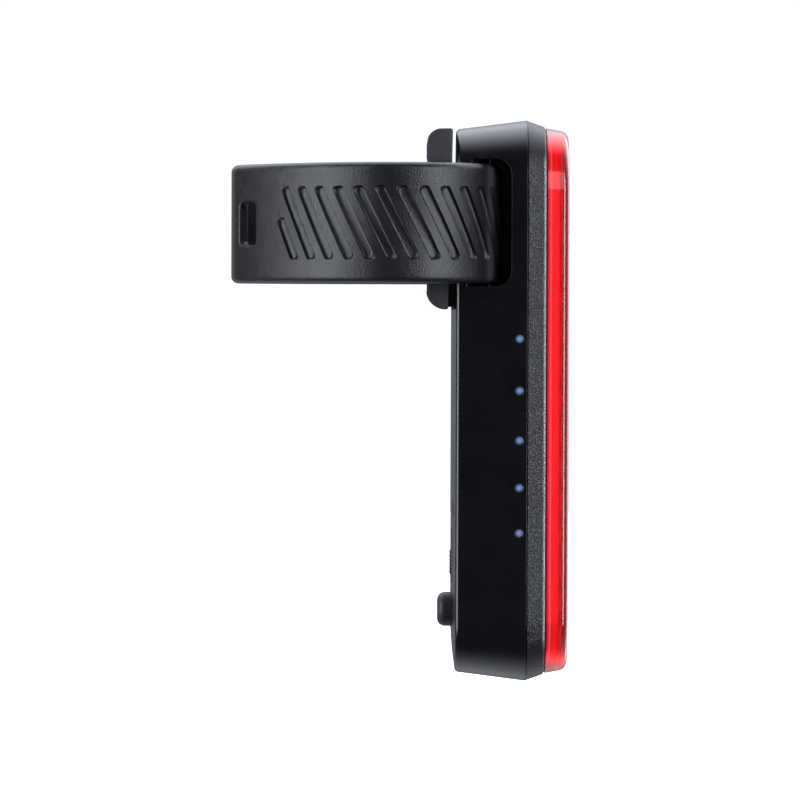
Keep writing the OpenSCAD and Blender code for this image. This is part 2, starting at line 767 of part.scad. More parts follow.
rear_case();
front_bezel();
red_lens();
light_guide();
case_gasket();
lens_gasket();
reflector_tray();
led_board();
red_leds();
indicator_leds();
indicator_pipes();
driver_chip();
power_inductor();
chip_capacitors();
control_board();
board_link();
board_screws();
case_screws();
screw_plugs();
usb_shell();
usb_tongue();
switch_body();
switch_stem();
button_plunger();
mode_button();
button_seal();
port_cover();
cover_root();
battery_cell();
battery_foam();
battery_leads();
battery_plug();
saddle_pad();
strap_band();
strap_tail();
strap_pin();
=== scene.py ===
import bpy
import bmesh
import math
import numpy as np
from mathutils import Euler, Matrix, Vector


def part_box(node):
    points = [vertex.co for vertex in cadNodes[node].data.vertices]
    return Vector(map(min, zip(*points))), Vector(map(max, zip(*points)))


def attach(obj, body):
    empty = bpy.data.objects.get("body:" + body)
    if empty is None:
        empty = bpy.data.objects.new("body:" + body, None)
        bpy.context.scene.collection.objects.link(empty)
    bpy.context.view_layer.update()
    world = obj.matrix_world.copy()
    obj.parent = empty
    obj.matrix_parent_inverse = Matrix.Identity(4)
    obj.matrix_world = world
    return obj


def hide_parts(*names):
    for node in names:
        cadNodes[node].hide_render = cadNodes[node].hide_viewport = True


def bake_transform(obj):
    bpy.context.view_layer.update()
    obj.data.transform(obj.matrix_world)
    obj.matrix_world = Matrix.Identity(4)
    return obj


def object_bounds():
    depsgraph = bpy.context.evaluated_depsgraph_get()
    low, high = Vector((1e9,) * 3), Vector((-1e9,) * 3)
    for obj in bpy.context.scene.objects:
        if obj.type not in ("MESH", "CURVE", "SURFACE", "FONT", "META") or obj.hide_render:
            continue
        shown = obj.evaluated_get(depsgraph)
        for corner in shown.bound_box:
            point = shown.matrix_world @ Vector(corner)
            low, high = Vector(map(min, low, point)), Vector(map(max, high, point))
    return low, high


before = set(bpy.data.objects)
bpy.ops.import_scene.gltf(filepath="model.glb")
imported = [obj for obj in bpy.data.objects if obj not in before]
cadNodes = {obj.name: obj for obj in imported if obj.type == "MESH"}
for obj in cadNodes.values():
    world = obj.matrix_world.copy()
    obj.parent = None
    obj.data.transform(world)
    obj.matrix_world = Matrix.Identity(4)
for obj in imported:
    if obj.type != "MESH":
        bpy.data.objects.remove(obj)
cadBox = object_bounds()
mm = 0.001
print("frame loaded:", len(cadNodes), "nodes")


# small helpers for shader trees

def startFinish(name):
    finish = bpy.data.materials.new(name)
    finish.use_nodes = True
    tree = finish.node_tree
    shader = tree.nodes["Principled BSDF"]
    return finish, tree, shader


def ownPlace(tree):
    # the object's own coordinates, one output for each axis
    place = tree.nodes.new("ShaderNodeTexCoord")
    split = tree.nodes.new("ShaderNodeSeparateXYZ")
    tree.links.new(place.outputs["Object"], split.inputs["Vector"])
    return split.outputs


def reckon(tree, operation, *values):
    # one step of arithmetic on numbers and node outputs
    step = tree.nodes.new("ShaderNodeMath")
    step.operation = operation
    for socket, value in zip(step.inputs, values):
        if isinstance(value, float):
            socket.default_value = value
        else:
            tree.links.new(value, socket)
    return step.outputs["Value"]


def fadeBetween(tree, source, start, stop, low, high, ease="SMOOTHSTEP"):
    # goes from low to high while the source goes from start to stop
    level = tree.nodes.new("ShaderNodeMapRange")
    level.interpolation_type = ease
    level.inputs["From Min"].default_value = start
    level.inputs["From Max"].default_value = stop
    level.inputs["To Min"].default_value = low
    level.inputs["To Max"].default_value = high
    tree.links.new(source, level.inputs["Value"])
    return level.outputs["Result"]


def grainNode(tree, sizeMm, detail=3.0, stretch=(1, 1, 1)):
    # noise with features about sizeMm across, in the object's own metres
    place = tree.nodes.new("ShaderNodeTexCoord")
    turn = tree.nodes.new("ShaderNodeMapping")
    turn.inputs["Scale"].default_value = stretch
    noise = tree.nodes.new("ShaderNodeTexNoise")
    noise.inputs["Scale"].default_value = 1 / (sizeMm * mm)
    noise.inputs["Detail"].default_value = detail
    tree.links.new(place.outputs["Object"], turn.inputs["Vector"])
    tree.links.new(turn.outputs["Vector"], noise.inputs["Vector"])
    return noise.outputs["Fac"]


def spread(tree, noise, low, high):
    # noise sits round 0.5, so the middle of its range is stretched to low..high
    return fadeBetween(tree, noise, 0.3, 0.7, low, high, "LINEAR")


def tintBetween(tree, source, first, second, start=0.35, stop=0.65):
    ramp = tree.nodes.new("ShaderNodeValToRGB")
    ramp.color_ramp.elements[0].position = start
    ramp.color_ramp.elements[0].color = (*first, 1)
    ramp.color_ramp.elements[1].position = stop
    ramp.color_ramp.elements[1].color = (*second, 1)
    tree.links.new(source, ramp.inputs["Fac"])
    return ramp.outputs["Color"]


def mixTints(tree, factor, first, second):
    both = tree.nodes.new("ShaderNodeMix")
    both.data_type = "RGBA"
    tree.links.new(factor, both.inputs["Factor"])
    for name, tint in (("A", first), ("B", second)):
        if isinstance(tint, tuple):
            both.inputs[name].default_value = (*tint, 1)
        else:
            tree.links.new(tint, both.inputs[name])
    return both.outputs["Result"]


def roughen(tree, shader, source, heightMm, strength, before=None):
    bump = tree.nodes.new("ShaderNodeBump")
    bump.inputs["Strength"].default_value = strength
    bump.inputs["Distance"].default_value = heightMm * mm
    tree.links.new(source, bump.inputs["Height"])
    if before is not None:
        tree.links.new(before, bump.inputs["Normal"])
    tree.links.new(bump.outputs["Normal"], shader.inputs["Normal"])


def softEdges(tree, radiusMm):
    edge = tree.nodes.new("ShaderNodeBevel")
    edge.samples = 4
    edge.inputs["Radius"].default_value = radiusMm * mm
    return edge.outputs["Normal"]


def mouldedFinish(name, look):
    # a moulded or machined surface: cloudy tint, uneven gloss, fine grain
    finish, tree, shader = startFinish(name)
    cloud = grainNode(tree, look.get("cloudMm", 4), look.get("cloudDetail", 2))
    tint = tintBetween(tree, cloud, look["dark"], look["light"], *look.get("cloudRange", (0.35, 0.65)))
    tree.links.new(tint, shader.inputs["Base Color"])
    gloss = grainNode(tree, look.get("glossMm", 1.2), 4)
    tree.links.new(spread(tree, gloss, *look["rough"]), shader.inputs["Roughness"])
    before = softEdges(tree, look["edgeMm"]) if "edgeMm" in look else None
    grain = grainNode(tree, look["grainMm"], look.get("grainDetail", 3), look.get("stretch", (1, 1, 1)))
    roughen(tree, shader, grain, look["heightMm"], look.get("strength", 0.6), before)
    shader.inputs["Specular IOR Level"].default_value = look.get("shine", 0.5)
    shader.inputs["Metallic"].default_value = look.get("metal", 0.0)
    return finish


def towardsEnds(tree, nodeName, endMm, middle, end):
    # a value that changes near the top and bottom ends of a node
    low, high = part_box(nodeName)
    half = (high.z - low.z) / 2
    offset = reckon(tree, "SUBTRACT", ownPlace(tree)["Z"], low.z + half)
    away = reckon(tree, "ABSOLUTE", offset)
    return fadeBetween(tree, away, half - endMm[0] * mm, half - endMm[1] * mm, middle, end)


def facingFront(tree, start, stop, low, high):
    # a value that follows how squarely a surface faces the lens side
    shape = tree.nodes.new("ShaderNodeNewGeometry")
    split = tree.nodes.new("ShaderNodeSeparateXYZ")
    tree.links.new(shape.outputs["Normal"], split.inputs["Vector"])
    return fadeBetween(tree, split.outputs["X"], start, stop, low, high)


def dress(nodeName, finish):
    node = cadNodes[nodeName]
    node.data.materials.clear()
    node.data.materials.append(finish)


# finishes of the case and its fittings

caseLook = dict(dark=(0.0022, 0.0024, 0.003), light=(0.0034, 0.0037, 0.0045), rough=(0.2, 0.26),
                grainMm=0.22, heightMm=0.004, strength=0.35, edgeMm=0.14, shine=0.5)
buttonLook = dict(dark=(0.02, 0.02, 0.0217), light=(0.027, 0.027, 0.0292), rough=(0.42, 0.55),
                  grainMm=0.2, heightMm=0.015, strength=0.4, edgeMm=0.1, shine=0.3)
sealLook = dict(dark=(0.012, 0.012, 0.012), light=(0.02, 0.02, 0.02), rough=(0.5, 0.7),
                grainMm=0.2, heightMm=0.01)
redSealLook = dict(dark=(0.08, 0.003, 0.004), light=(0.12, 0.004, 0.006), rough=(0.5, 0.7),
                   grainMm=0.2, heightMm=0.01)
steelLook = dict(dark=(0.5, 0.5, 0.51), light=(0.62, 0.62, 0.64), rough=(0.22, 0.36),
                 grainMm=0.3, heightMm=0.006, metal=1.0, stretch=(1, 6, 1), edgeMm=0.06)
whiteLook = dict(dark=(0.78, 0.78, 0.76), light=(0.86, 0.86, 0.84), rough=(0.4, 0.55),
                 grainMm=0.3, heightMm=0.006)
boardLook = dict(dark=(0.012, 0.1, 0.035), light=(0.02, 0.15, 0.05), rough=(0.3, 0.42),
                 grainMm=0.5, heightMm=0.01)
chipLook = dict(dark=(0.014, 0.014, 0.015), light=(0.024, 0.024, 0.026), rough=(0.45, 0.6),
                grainMm=0.15, heightMm=0.01)
ferriteLook = dict(dark=(0.06, 0.058, 0.055), light=(0.1, 0.096, 0.09), rough=(0.6, 0.75),
                   grainMm=0.2, heightMm=0.02)
ceramicLook = dict(dark=(0.36, 0.25, 0.13), light=(0.46, 0.33, 0.18), rough=(0.35, 0.5),
                   grainMm=0.2, heightMm=0.006)
ivoryLook = dict(dark=(0.68, 0.62, 0.5), light=(0.76, 0.7, 0.58), rough=(0.4, 0.52),
                 grainMm=0.25, heightMm=0.006)
foilLook = dict(dark=(0.42, 0.44, 0.47), light=(0.55, 0.57, 0.6), rough=(0.3, 0.45),
                grainMm=0.8, heightMm=0.02, metal=0.9)
wireLook = dict(dark=(0.32, 0.01, 0.012), light=(0.42, 0.016, 0.018), rough=(0.35, 0.5),
                grainMm=0.3, heightMm=0.006)
ledLook = dict(dark=(0.8, 0.5, 0.12), light=(0.9, 0.62, 0.2), rough=(0.2, 0.3),
               grainMm=0.3, heightMm=0.004)
chipDotLook = dict(dark=(0.5, 0.52, 0.4), light=(0.6, 0.62, 0.5), rough=(0.2, 0.3),
                   grainMm=0.2, heightMm=0.003)
caseFinish = mouldedFinish("satinBlackCase", caseLook)
sealFinish = mouldedFinish("blackSeal", sealLook)
steelFinish = mouldedFinish("brightSteel", steelLook)
whiteFinish = mouldedFinish("whiteTray", whiteLook)
boardFinish = mouldedFinish("greenBoard", boardLook)
chipFinish = mouldedFinish("blackChip", chipLook)
ivoryFinish = mouldedFinish("ivoryPlastic", ivoryLook)
buttonFinish = mouldedFinish("buttonRubber", buttonLook)
dressing = {
    "rear_case": caseFinish,
    "case_gasket": sealFinish,
    "lens_gasket": mouldedFinish("redSeal", redSealLook),
    "reflector_tray": whiteFinish,
    "led_board": boardFinish,
    "control_board": boardFinish,
    "red_leds": mouldedFinish("amberChip", ledLook),
    "indicator_leds": mouldedFinish("paleChip", chipDotLook),
    "driver_chip": chipFinish,
    "board_link": chipFinish,
    "usb_tongue": chipFinish,
    "switch_body": chipFinish,
    "power_inductor": mouldedFinish("greyFerrite", ferriteLook),
    "chip_capacitors": mouldedFinish("tanCeramic", ceramicLook),
    "board_screws": steelFinish,
    "case_screws": steelFinish,
    "screw_plugs": buttonFinish,
    "usb_shell": steelFinish,
    "strap_pin": steelFinish,
    "switch_stem": ivoryFinish,
    "battery_plug": ivoryFinish,
    "button_plunger": chipFinish,
    "port_cover": buttonFinish,
    "cover_root": buttonFinish,
    "button_seal": sealFinish,
    "battery_cell": mouldedFinish("batteryFoil", foilLook),
    "battery_foam": whiteFinish,
    "battery_leads": mouldedFinish("redWire", wireLook),
}
for nodeName, finish in dressing.items():
    dress(nodeName, finish)
print("case and fittings dressed")


# front frame: spark-eroded grain with calm ends, and a painted highlight along the rounded front edge

frameLook = dict(dark=(0.001, 0.001, 0.0012), light=(0.1, 0.1, 0.108), rough=(0.22, 0.45), cloudMm=0.16,
                 cloudDetail=0, cloudRange=(0.5, 0.78), glossMm=0.3, grainMm=0.16, grainDetail=0,
                 heightMm=0.1, strength=1.0, edgeMm=0.12, shine=0.27,
                 plain=(0.012, 0.012, 0.0132), plainMm=(7.6, 4.6), plainStrength=0.15,
                 # the lip colours are a painted highlight along the rounded front edge, flecked like the
                 # grain
                 lipMm=0.5, lipFacing=(0.72, 0.95), lipHighlightDark=(0.04, 0.04, 0.043), lipHighlightBright=(0.8, 0.8, 0.84),
                 seamMm=(0.11, 0.22))


def frameFinish():
    finish = mouldedFinish("sparkGreyFrame", frameLook)
    tree = finish.node_tree
    shader = tree.nodes["Principled BSDF"]
    speckle = shader.inputs["Base Color"].links[0].from_socket
    grain = shader.inputs["Normal"].links[0].from_node
    depth = ownPlace(tree)["X"]

    def fromMiddle(middle, end):
        return towardsEnds(tree, "front_bezel", frameLook["plainMm"], middle, end)

    body = mixTints(tree, fromMiddle(0.0, 1.0), speckle, frameLook["plain"])
    tree.links.new(fromMiddle(frameLook["strength"], frameLook["plainStrength"]), grain.inputs["Strength"])
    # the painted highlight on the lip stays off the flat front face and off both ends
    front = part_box("front_bezel")[1].x
    nearFront = fadeBetween(tree, depth, front - frameLook["lipMm"] * mm, front, 0.0, 1.0)
    onLipHighlight = reckon(tree, "MULTIPLY", nearFront, facingFront(tree, *frameLook["lipFacing"], 1.0, 0.0))
    onLipHighlight = reckon(tree, "MULTIPLY", onLipHighlight, fromMiddle(1.0, 0.0))
    flecks = grainNode(tree, frameLook["cloudMm"], 2)
    # painted highlight: pale flecked colour on the rounded front edge
    paintedLipHighlight = tintBetween(tree, flecks, frameLook["lipHighlightDark"], frameLook["lipHighlightBright"])
    tint = mixTints(tree, onLipHighlight, body, paintedLipHighlight)
    # a dark line where the frame meets the case
    seamStart, seamStop = (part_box("case_gasket")[0].x + reach * mm for reach in frameLook["seamMm"])
    seam = fadeBetween(tree, depth, seamStart, seamStop, 1.0, 0.0, "LINEAR")
    tree.links.new(mixTints(tree, seam, tint, (0.0, 0.0, 0.0)), shader.inputs["Base Color"])
    tree.links.new(seam, shader.inputs["Metallic"])
    return finish


dress("front_bezel", frameFinish())
print("frame dressed")


# charge dots: clear pips, bright in the middle and fading to their rims

dotShape = dict(rings=9, turns=40, dome=0.1, apart=2.0)
dotLook = dict(base=(0.012, 0.018, 0.04), glow=(0.22, 0.33, 0.72), strength=0.75, darkAt=1.2,
               rough=(0.2, 0.3), glossMm=0.2, grainMm=0.3, heightMm=0.004, grainStrength=0.3)


def dotFinish():
    finish, tree, shader = startFinish("blueDot")
    share = tree.nodes.new("ShaderNodeAttribute")
    share.attribute_name = "fromMiddle"
    fade = (0.0, dotLook["darkAt"], dotLook["strength"], 0.0)
    level = fadeBetween(tree, share.outputs["Fac"], *fade, "SMOOTHERSTEP")
    tree.links.new(level, shader.inputs["Emission Strength"])
    shader.inputs["Emission Color"].default_value = (*dotLook["glow"], 1)
    shader.inputs["Base Color"].default_value = (*dotLook["base"], 1)
    gloss = grainNode(tree, dotLook["glossMm"], 2)
    tree.links.new(spread(tree, gloss, *dotLook["rough"]), shader.inputs["Roughness"])
    grain = grainNode(tree, dotLook["grainMm"], 2)
    roughen(tree, shader, grain, dotLook["heightMm"], dotLook["grainStrength"])
    return finish


def turnedFaces(ringCount, turns):
    # faces of a turned piece: rings of points between one point at each end
    faces = [(0, 1 + (k + 1) % turns, 1 + k) for k in range(turns)]
    for ring in range(ringCount - 1):
        start = 1 + ring * turns
        for k in range(turns):
            after = (k + 1) % turns
            faces.append((start + k, start + after, start + turns + after, start + turns + k))
    last = 1 + ringCount * turns
    start = last - turns
    faces += [(last, start + k, start + (k + 1) % turns) for k in range(turns)]
    return faces


def addPiece(name, points, faces, sharpAngle=40.0):
    mesh = bpy.data.meshes.new(name)
    mesh.from_pydata([tuple(point) for point in points], [], faces)
    tidy = bmesh.new()
    tidy.from_mesh(mesh)
    loose = [corner for corner in tidy.verts if not corner.link_faces]
    bmesh.ops.delete(tidy, geom=loose, context="VERTS")
    bmesh.ops.remove_doubles(tidy, verts=tidy.verts, dist=1e-7)
    bmesh.ops.recalc_face_normals(tidy, faces=tidy.faces)
    tidy.to_mesh(mesh)
    tidy.free()
    mesh.shade_smooth()
    mesh.set_sharp_from_angle(angle=math.radians(sharpAngle))
    piece = bpy.data.objects.new(name, mesh)
    bpy.context.scene.collection.objects.link(piece)
    return piece


def buildDots():
    spots = np.array([v.co for v in cadNodes["indicator_pipes"].data.vertices]) / mm
    spots = spots[np.argsort(spots[:, 2])]
    groups = np.split(spots, np.nonzero(np.diff(spots[:, 2]) > dotShape["apart"])[0] + 1)
    points, faces, fades = [], [], []
    for group in groups:
        low, high = group.min(axis=0), group.max(axis=0)
        centre, radius = (low + high) / 2, (high[2] - low[2]) / 2
        profile = [(share, low[1] + dotShape["dome"] * share ** 2)
                   for share in np.linspace(0, 1, dotShape["rings"] + 1)[1:]]
        profile.append((1.0, high[1]))
        start = len(points)
        points.append((centre[0], low[1], centre[2]))
        fades.append(0.0)
        for share, y in profile:
            for k in range(dotShape["turns"]):
                turn = 2 * math.pi * k / dotShape["turns"]
                points.append((centre[0] + radius * share * math.cos(turn), y,
                               centre[2] + radius * share * math.sin(turn)))
                fades.append(share)
        points.append((centre[0], high[1], centre[2]))
        fades.append(1.0)
        faces += [tuple(start + k for k in face) for face in turnedFaces(len(profile), dotShape["turns"])]
    dots = addPiece("chargeDots", np.array(points) * mm, faces)
    fade = dots.data.attributes.new("fromMiddle", "FLOAT", "POINT")
    fade.data.foreach_set("value", fades)
    dots.data.materials.append(dotFinish())
    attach(dots, "case")
    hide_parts("indicator_pipes")


buildDots()
print("charge dots made")


# mode button: turned rubber cap with a soft rim and a shallow dish

buttonShape = dict(radius=2.58, rimRound=1.15, rimSteps=12, dishRadius=1.3, dishDepth=0.16, dishPower=1.5,
                   innerShare=0.06, innerSteps=14, footBevel=0.15, turns=72)


def buildButton():
    low, high = (np.array(corner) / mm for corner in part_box("mode_button"))
    radius, rim, bevel = buttonShape["radius"], buttonShape["rimRound"], buttonShape["footBevel"]
    middleZ = (high[2] + low[2]) / 2
    crown = []
    for share in np.linspace(buttonShape["innerShare"], 1, buttonShape["innerSteps"]):
        reach = (radius - rim) * share
        dish = max(0.0, 1 - (reach / buttonShape["dishRadius"]) ** 2)
        crown.append((reach, low[0] + buttonShape["dishDepth"] * dish ** buttonShape["dishPower"]))
    for turn in np.linspace(0, math.pi / 2, buttonShape["rimSteps"])[1:]:
        crown.append((radius - rim + rim * math.sin(turn), low[0] + rim * (1 - math.cos(turn))))
    crown.append((radius, high[0] - bevel))
    crown.append((radius - bevel, high[0]))
    points = [(low[0] + buttonShape["dishDepth"], 0.0, middleZ)]
    for reach, x in crown:
        for k in range(buttonShape["turns"]):
            turn = 2 * math.pi * k / buttonShape["turns"]
            points.append((x, reach * math.cos(turn), middleZ + reach * math.sin(turn)))
    points.append((high[0], 0.0, middleZ))
    button = addPiece("rubberButton", np.array(points) * mm, turnedFaces(len(crown), buttonShape["turns"]))
    button.data.materials.append(buttonFinish)
    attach(button, "button")
    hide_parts("mode_button")


buildButton()
print("button turned")


# saddle pad: the plain solid made even and soft all round, with grip ribs where the post sits

padShape = dict(voxel=0.2, softPasses=7, softShare=0.5, saddleRadius=13.6, saddleBand=0.3,
                ribPitch=2.1, ribDepth=0.3, ribReach=11.2, ribFade=0.5, ribMiddle=0.5, ribSteepness=1.2)
padLook = dict(dark=(0.023, 0.023, 0.025), light=(0.031, 0.031, 0.0335), rough=(0.5, 0.65),
               grainMm=0.18, heightMm=0.02, strength=0.5, edgeMm=0.4, shine=0.3)


def softCopy(nodeName, pieceName):
    piece = bpy.data.objects.new(pieceName, cadNodes[nodeName].data.copy())
    bpy.context.scene.collection.objects.link(piece)
    joined = piece.modifiers.new("joined", "WELD")
    joined.merge_threshold = 1e-6
    even = piece.modifiers.new("even", "REMESH")
    even.mode = "VOXEL"
    even.voxel_size = padShape["voxel"] * mm
    soft = piece.modifiers.new("soft", "SMOOTH")
    soft.factor = padShape["softShare"]
    soft.iterations = padShape["softPasses"]
    made = bpy.data.meshes.new_from_object(piece.evaluated_get(bpy.context.evaluated_depsgraph_get()))
    piece.modifiers.clear()
    piece.data = made
    made.name = pieceName
    made.materials.clear()
    made.shade_smooth()
    return piece


def buildPad():
    pad = softCopy("saddle_pad", "rubberPad")
    count = len(pad.data.vertices)
    flat = np.empty(count * 3)
    pad.data.vertices.foreach_get("co", flat)
    spots = flat.reshape(-1, 3) / mm
    reach = np.hypot(spots[:, 0], spots[:, 1])
    onSaddle = np.clip(1 - np.abs(reach - padShape["saddleRadius"]) / padShape["saddleBand"], 0, 1)
    onSaddle *= np.clip((padShape["ribReach"] - np.abs(spots[:, 2])) / padShape["ribFade"], 0, 1)
    wave = np.cos(2 * math.pi * spots[:, 2] / padShape["ribPitch"])
    rib = np.clip(padShape["ribMiddle"] - padShape["ribSteepness"] * wave, 0, 1)
    sink = padShape["ribDepth"] * onSaddle * rib
    spots[:, 0] += sink * spots[:, 0] / reach
    spots[:, 1] += sink * spots[:, 1] / reach
    pad.data.vertices.foreach_set("co", (spots * mm).ravel())
    pad.data.update()
    pad.data.materials.append(mouldedFinish("padRubber", padLook))
    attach(pad, "case")
    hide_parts("saddle_pad")
    return count


print("pad softened:", buildPad(), "points")


# red lens and the bright guide behind it

lensLook = dict(tint=(0.5, 0.02, 0.026), rough=(0.021, 0.056), bend=1.06, seeThrough=1.0,
                coat=1.0, coatBend=1.56, coatRough=0.12,
                glow=(1.0, 0.03, 0.035), glowMiddle=0.06, glowEnd=0.45, endMm=(4.5, 1.8), rimMm=(2.4, 0.6),
                hazeMm=1.5, waveMm=2.5, waveHeightMm=0.01, waveStrength=0.2)
# steps give the glow from the guide's foot to its front, as shares of its depth; the dim foot is painted
# shade of the gap at the frame and the pale band above it a painted highlight
guideLook = dict(
    dark=(0.26, 0.002, 0.003), light=(0.34, 0.003, 0.004), rough=(0.25, 0.35), grainMm=0.6, heightMm=0.01,
    strength=1.6, glowStrength=1.6,
    steps=((0.0, (0.2, 0.1, 0.1)), (0.16, (0.7, 0.6, 0.6)), (0.27, (1.0, 2.2, 2.2)),
           (0.38, (0.75, 0.1, 0.11)), (0.62, (1.0, 0.15, 0.16)), (0.85, (0.7, 0.15, 0.16)),
           (1.0, (0.3, 0.1, 0.11))),
    frontDim=(0.25, 0.015, 0.018), frontBright=(0.95, 0.06, 0.07), frontFacing=(0.4, 0.8),
    chipCount=13, chipMm=3.5, spotStart=-1.2)


def lensFinish():
    finish, tree, shader = startFinish("clearRedLens")
    shader.inputs["Base Color"].default_value = (*lensLook["tint"], 1)
    shader.inputs["IOR"].default_value = lensLook["bend"]
    shader.inputs["Transmission Weight"].default_value = lensLook["seeThrough"]
    shader.inputs["Coat Weight"].default_value = lensLook["coat"]
    shader.inputs["Coat IOR"].default_value = lensLook["coatBend"]
    shader.inputs["Coat Roughness"].default_value = lensLook["coatRough"]
    # painted glow: emission stands in for light from the bar spilling into both ends, stopping short of their
    # rims
    paintedSpill = towardsEnds(tree, "red_lens", lensLook["endMm"], lensLook["glowMiddle"], lensLook["glowEnd"])
    insideRims = towardsEnds(tree, "red_lens", lensLook["rimMm"], 1.0, 0.0)
    shader.inputs["Emission Color"].default_value = (*lensLook["glow"], 1)
    tree.links.new(reckon(tree, "MULTIPLY", paintedSpill, insideRims), shader.inputs["Emission Strength"])
    haze = grainNode(tree, lensLook["hazeMm"], 3)
    tree.links.new(spread(tree, haze, *lensLook["rough"]), shader.inputs["Roughness"])
    wave = grainNode(tree, lensLook["waveMm"], 2)
    roughen(tree, shader, wave, lensLook["waveHeightMm"], lensLook["waveStrength"])
    return finish


def guideSteps(tree, depth):
    ramp = tree.nodes.new("ShaderNodeValToRGB")
    stops = ramp.color_ramp.elements
    while len(stops) < len(guideLook["steps"]):
        stops.new(0.5)
    for stop, (position, tint) in zip(stops, guideLook["steps"]):
        stop.position = position
        stop.color = (*tint, 1)
    tree.links.new(depth, ramp.inputs["Fac"])
    return ramp.outputs["Color"]


def guideFinish():
    # the bar glows, with a painted highlight as a pale band along its stepped foot
    finish = mouldedFinish("brightRedGuide", guideLook)
    tree = finish.node_tree
    shader = tree.nodes["Principled BSDF"]
    low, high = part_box("light_guide")
    place = ownPlace(tree)
    side = guideSteps(tree, fadeBetween(tree, place["X"], low.x, high.x, 0.0, 1.0, "LINEAR"))
    # from the front each light chip shows as a soft glow
    chipLow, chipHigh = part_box("red_leds")
    pitch = (chipHigh.z - chipLow.z - guideLook["chipMm"] * mm) / (guideLook["chipCount"] - 1)
    cycle = reckon(tree, "MULTIPLY_ADD", place["Z"], 2 * math.pi / pitch, -math.pi * (low.z + high.z) / pitch)
    onSpot = fadeBetween(tree, reckon(tree, "COSINE", cycle), guideLook["spotStart"], 1.0, 0.0, 1.0, "LINEAR")
    inRow = fadeBetween(tree, reckon(tree, "ABSOLUTE", place["Y"]), 0.0, high.y, 1.0, 0.0)
    spots = reckon(tree, "MULTIPLY", onSpot, inRow)
    front = mixTints(tree, spots, guideLook["frontDim"], guideLook["frontBright"])
    tint = mixTints(tree, facingFront(tree, *guideLook["frontFacing"], 0.0, 1.0), side, front)
    tree.links.new(tint, shader.inputs["Emission Color"])
    shader.inputs["Emission Strength"].default_value = guideLook["glowStrength"]
    return finish


dress("red_lens", lensFinish())
dress("light_guide", guideFinish())
print("lens dressed")


# silicone strap: one grid laid out flat, then wrapped along the strap's path

strapShape = dict(
    loopCentre=7.3, loopRadius=15.75, turnAngle=160.0,   # turn into the case
    sideRadius=27.0, sideAngle=142.0, leftAngle=125.0,   # flatter near side
    apexRadius=6.0, apexDistance=17.95, farAngle=60.0,   # far left end
    tailSlope=4.75, tailShort=0.9, caseGap=0.3,          # straight tail on the hook side
    thickness=1.6, height=17.85, edgeRound=1.1, innerRound=0.45, sharpAngle=50.0,
    eyeRadius=2.25, rootRound=1.3, rootRun=20.0, tipRound=4.0,
    slotLength=3.8, slotHeight=6.3, slotCorner=0.7, slotPitch=15.85, slotCount=4, slotRim=0.3,
    backX=15.85, hookInset=2.6, hookPlay=0.25,
    grooveCount=12, groovePitch=3.3, grooveWidth=1.7, grooveDepth=0.56, grooveHeight=10.9, grooveLean=27.0,
    grooveMiddle=179.0, grooveBefore=6, grooveSquare=6, shortShare=0.5,
    bendY=(2.4, 6.6))                                    # where the two halves share the bend
# spacing of the grid's lines; the lean comes in from the root and goes out after the last groove
strapMesh = dict(
    stepAlong=0.55, stepUp=0.6, closest=0.03, edgeSteps=8, eyeSteps=9, slotReach=2.4, slotStep=0.19,
    wallShares=(0, 0.45, 0.7, 0.85, 0.94, 1, 1.1, 1.3),
    endShares=(-0.5, 0, 0.3, 0.5, 0.68, 0.82, 0.92, 1, 1.1),
    slotRows=(-0.3, -0.12, 0, 0.12, 0.28, 0.48, 0.7),
    leanIn=(2.5, 4.2), leanOut=(7.5, 6.0))
strapLook = dict(dark=(0.0105, 0.0107, 0.0117), light=(0.0138, 0.014, 0.0152), rough=(0.12, 0.18), cloudMm=3,
                 grainMm=0.2, heightMm=0.09, strength=0.9, shine=0.3,
                 # the root colour is painted light, lifting the shade the pocket casts on the strap
                 rootPaintedLight=(0.075, 0.076, 0.08), rootX=(19.9, 22.0))


def facing(degrees):
    # the way the outer edge faces; 0 is towards the hook side
    turn = np.radians(degrees)
    return np.stack([-np.sin(turn), np.cos(turn)], axis=-1)


def along(degrees):
    # the way the path runs, square to where it faces
    turn = np.radians(degrees)
    return np.stack([np.cos(turn), np.sin(turn)], axis=-1)


